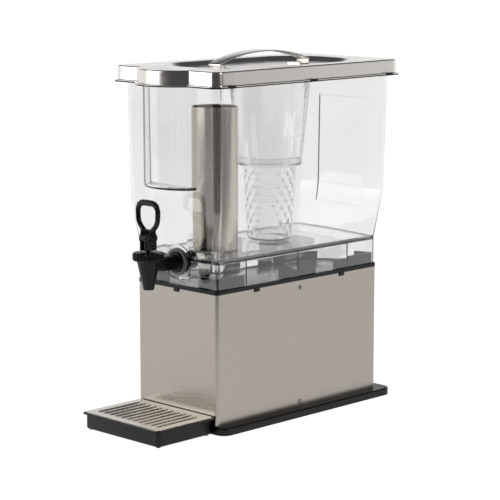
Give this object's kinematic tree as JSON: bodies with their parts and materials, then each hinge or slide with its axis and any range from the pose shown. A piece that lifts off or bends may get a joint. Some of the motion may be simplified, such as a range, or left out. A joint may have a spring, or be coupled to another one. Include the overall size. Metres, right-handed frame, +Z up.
{
  "type": "countertop cold drink dispenser",
  "caption": "Free-standing cold drink dispenser: clear tank on a steel pedestal with a lever tap, ice tube, infuser, steel lid and drip tray.",
  "frame": {"origin": "on the table under the middle of the whole dispenser's box", "axes": "+Z up, +X to the right of someone facing the tap, -Y towards that person"},
  "size_m": [0.1984, 0.4357, 0.4851],
  "materials": {
    "black_abs": "satin black moulded ABS",
    "black_rubber": "matte",
    "brushed_stainless": "brushed horizontally",
    "screw_steel": "plain",
    "black_polypropylene": "fine grained black",
    "pressed_stainless": "satin",
    "clear_polycarbonate": "clear, moulded",
    "tap_black": "black, satin gloss",
    "grey_silicone": "grey, matte",
    "black_silicone": "matte",
    "spring_steel": "drawn wire",
    "satin_stainless": "satin tube",
    "clear_acrylic": "clear, moulded",
    "polished_stainless": "bright polished"
  },
  "bodies": {
    "base": {"base_plate": "black_abs", "rubber_feet": "black_rubber", "steel_housing": "brushed_stainless", "housing_screws": "screw_steel", "deck_frame": "black_abs"},
    "tray": {"drip_tray": "black_polypropylene"},
    "grille": {"drip_grille": "pressed_stainless"},
    "tank": {"tank": "clear_polycarbonate", "faucet_body": "tap_black", "faucet_outer_washer": "grey_silicone", "faucet_inner_washer": "grey_silicone", "shank_nut": "tap_black", "faucet_bonnet": "tap_black", "faucet_spring": "spring_steel"},
    "stem": {"faucet_stem": "tap_black", "seat_cup": "black_silicone", "handle_pin": "spring_steel"},
    "lever": {"faucet_handle": "tap_black"},
    "ice_tube": {"ice_tube": "satin_stainless", "ice_tube_base": "satin_stainless"},
    "lid": {"lid": "polished_stainless", "lid_handle": "polished_stainless", "handle_rivets": "polished_stainless", "lid_seal": "grey_silicone", "lid_trim": "black_abs", "infuser_collar": "clear_acrylic"},
    "infuser": {"infuser_upper": "clear_acrylic"},
    "infuser_cup": {"infuser_cup": "clear_acrylic"}
  },
  "joints": [
    {"name": "drip_tray_pull", "type": "slide", "parent": "base", "child": "tray", "axis": [0, -1, 0], "range_m": [0, 0.12]},
    {"name": "grille_lift", "type": "slide", "parent": "tray", "child": "grille", "axis": [0, 0, 1], "range_m": [0, 0.03]},
    {"name": "tank_lift", "type": "slide", "parent": "base", "child": "tank", "axis": [0, 0, 1], "range_m": [0, 0.05]},
    {"name": "stem_lift", "type": "slide", "parent": "tank", "child": "stem", "axis": [0, 0, 1], "range_m": [0, 0.005], "deforming": ["faucet_spring"]},
    {"name": "lever_tilt", "type": "hinge", "parent": "stem", "child": "lever", "pos_m": [0, -0.164, 0.247], "axis": [1, 0, 0], "range_deg": [0, 35], "stiffness_Nm_per_rad": 0.35, "springref_deg": -17.19},
    {"name": "ice_tube_lift", "type": "slide", "parent": "tank", "child": "ice_tube", "axis": [0, 0, 1], "range_m": [0, 0.04]},
    {"name": "lid_lift", "type": "slide", "parent": "tank", "child": "lid", "axis": [0, 0, 1], "range_m": [0, 0.245]},
    {"name": "infuser_twist", "type": "hinge", "parent": "lid", "child": "infuser", "pos_m": [0, 0.057, 0.45], "axis": [0, 0, 1], "range_deg": [0, 60]},
    {"name": "infuser_cup_twist", "type": "hinge", "parent": "infuser", "child": "infuser_cup", "pos_m": [0, 0.057, 0.335], "axis": [0, 0, 1], "range_deg": [0, 30]}
  ],
  "couplings": [
    {"joint": "stem_lift", "follows": "lever_tilt", "m_per_rad": 0.008}
  ]
}
